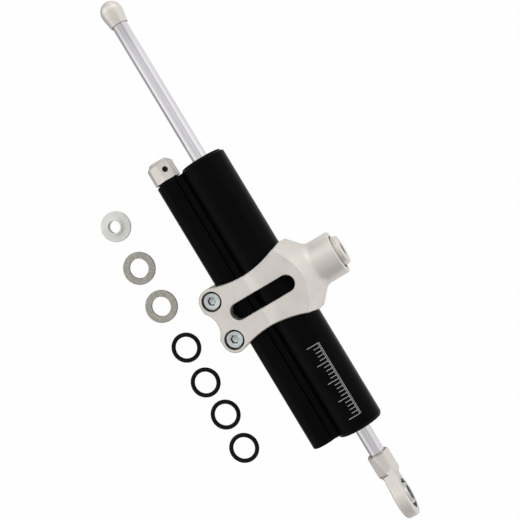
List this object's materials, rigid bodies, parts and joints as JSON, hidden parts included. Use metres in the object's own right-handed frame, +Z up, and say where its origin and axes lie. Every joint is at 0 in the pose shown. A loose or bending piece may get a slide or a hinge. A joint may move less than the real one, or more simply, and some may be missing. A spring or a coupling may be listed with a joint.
{
  "type": "steering damper",
  "caption": "Through-rod hydraulic motorcycle steering damper with a sliding frame clamp, swivelling clamp pivot, spherical rod eye, adjuster knob and loose fitting kit.",
  "frame": {"origin": "centre of the clamp's pivot ball, on the axis of its threaded hole", "axes": "+X along the damper rod towards the rod eye, +Y out of the clamp's pivot hole, +Z up, away from the clamp's flat back"},
  "size_m": [0.2991, 0.109, 0.036],
  "materials": {
    "black_anodised": "semi-gloss black anodised",
    "billet_silver": "fine bead-blasted, clear anodised",
    "chrome_rod": "ground hard chrome",
    "zinc_steel": "bright zinc plated",
    "bearing_steel": "fine ground",
    "spring_steel": "phosphated black",
    "piston_alloy": "turned",
    "bronze": "turned bronze",
    "rubber": "matt nitrile rubber",
    "ptfe": "filled PTFE",
    "nylon": "natural white nylon",
    "washer_steel": "dull plated, tumbled"
  },
  "bodies": {
    "clamp": {"clamp": "billet_silver", "clamp_screws": "zinc_steel", "pivot_race": "bearing_steel", "pivot_clip": "spring_steel"},
    "damper_body": {"body_housing": "black_anodised", "left_gland": "black_anodised", "left_wiper": "rubber", "left_rod_seal": "rubber", "left_rod_bush": "bronze", "left_gland_ring": "rubber", "right_gland": "black_anodised", "right_wiper": "rubber", "right_rod_seal": "rubber", "right_rod_bush": "bronze", "right_gland_ring": "rubber", "adjuster_cartridge": "black_anodised", "cartridge_ring": "rubber", "spindle_ring": "rubber", "needle_guide": "piston_alloy", "needle_seat": "bearing_steel", "detent_ball": "bearing_steel", "detent_spring": "spring_steel", "lobe_plug": "black_anodised", "plug_ring": "rubber", "plug_clip": "spring_steel"},
    "piston_ring": {"piston_ring": "ptfe"},
    "rod": {"rod": "chrome_rod", "piston": "piston_alloy", "piston_clips": "spring_steel", "rod_cap": "billet_silver", "rod_end": "billet_silver", "eye_race": "bearing_steel", "eye_clips": "spring_steel"},
    "eye_liner": {"eye_liner": "ptfe"},
    "eye_ball": {"eye_ball": "bearing_steel"},
    "pivot_liner": {"pivot_liner": "ptfe"},
    "pivot_ball": {"pivot_ball": "bearing_steel", "pivot_dust_ring": "rubber"},
    "knob": {"adjuster_knob": "billet_silver", "knob_grub_screw": "spring_steel", "adjuster_spindle": "bearing_steel"},
    "needle": {"adjuster_needle": "bearing_steel"},
    "compensator": {"compensator_piston": "piston_alloy", "compensator_ring": "rubber"},
    "kit_bush": {"kit_bush": "nylon"},
    "kit_washer_1": {"kit_washer_1": "washer_steel"},
    "kit_washer_2": {"kit_washer_2": "washer_steel"},
    "kit_ring_1": {"kit_ring_1": "rubber"},
    "kit_ring_2": {"kit_ring_2": "rubber"},
    "kit_ring_3": {"kit_ring_3": "rubber"},
    "kit_ring_4": {"kit_ring_4": "rubber"}
  },
  "joints": [
    {"name": "clamp_slide", "type": "slide", "parent": "clamp", "child": "damper_body", "axis": [1, 0, 0], "range_m": [-0.054, 0.048]},
    {"name": "rod_slide", "type": "slide", "parent": "damper_body", "child": "piston_ring", "axis": [1, 0, 0], "range_m": [-0.015, 0.075]},
    {"name": "rod_turn", "type": "hinge", "parent": "piston_ring", "child": "rod", "pos_m": [0, -0.0245, 0], "axis": [1, 0, 0], "continuous": true},
    {"name": "eye_tilt", "type": "hinge", "parent": "rod", "child": "eye_liner", "pos_m": [0.1215, -0.0245, 0], "axis": [0, 0, 1], "range_deg": [-10, 10]},
    {"name": "eye_spin", "type": "hinge", "parent": "eye_liner", "child": "eye_ball", "pos_m": [0.1215, -0.0245, 0], "axis": [0, 1, 0], "continuous": true},
    {"name": "pivot_tilt", "type": "hinge", "parent": "clamp", "child": "pivot_liner", "pos_m": [0, 0, 0], "axis": [1, 0, 0], "range_deg": [-4, 4]},
    {"name": "pivot_spin", "type": "hinge", "parent": "pivot_liner", "child": "pivot_ball", "pos_m": [0, 0, 0], "axis": [0, 1, 0], "continuous": true},
    {"name": "knob_turn", "type": "hinge", "parent": "damper_body", "child": "knob", "pos_m": [-0.08, -0.0442, 0], "axis": [1, 0, 0], "range_deg": [-1, 601]},
    {"name": "needle_slide", "type": "slide", "parent": "damper_body", "child": "needle", "axis": [1, 0, 0], "range_m": [0, 0.00133]},
    {"name": "compensator_slide", "type": "slide", "parent": "damper_body", "child": "compensator", "axis": [1, 0, 0], "range_m": [-0.004, 0.0038]},
    {"name": "kit_bush_lift", "type": "slide", "parent": "clamp", "child": "kit_bush", "axis": [0, 0, 1], "range_m": [0, 0.04]},
    {"name": "kit_washer_1_lift", "type": "slide", "parent": "clamp", "child": "kit_washer_1", "axis": [0, 0, 1], "range_m": [0, 0.04]},
    {"name": "kit_washer_2_lift", "type": "slide", "parent": "clamp", "child": "kit_washer_2", "axis": [0, 0, 1], "range_m": [0, 0.04]},
    {"name": "kit_ring_1_lift", "type": "slide", "parent": "clamp", "child": "kit_ring_1", "axis": [0, 0, 1], "range_m": [0, 0.04]},
    {"name": "kit_ring_2_lift", "type": "slide", "parent": "clamp", "child": "kit_ring_2", "axis": [0, 0, 1], "range_m": [0, 0.04]},
    {"name": "kit_ring_3_lift", "type": "slide", "parent": "clamp", "child": "kit_ring_3", "axis": [0, 0, 1], "range_m": [0, 0.04]},
    {"name": "kit_ring_4_lift", "type": "slide", "parent": "clamp", "child": "kit_ring_4", "axis": [0, 0, 1], "range_m": [0, 0.04]}
  ],
  "couplings": [
    {"joint": "knob_turn", "follows": "needle_slide", "rad_per_m": 7854}
  ]
}
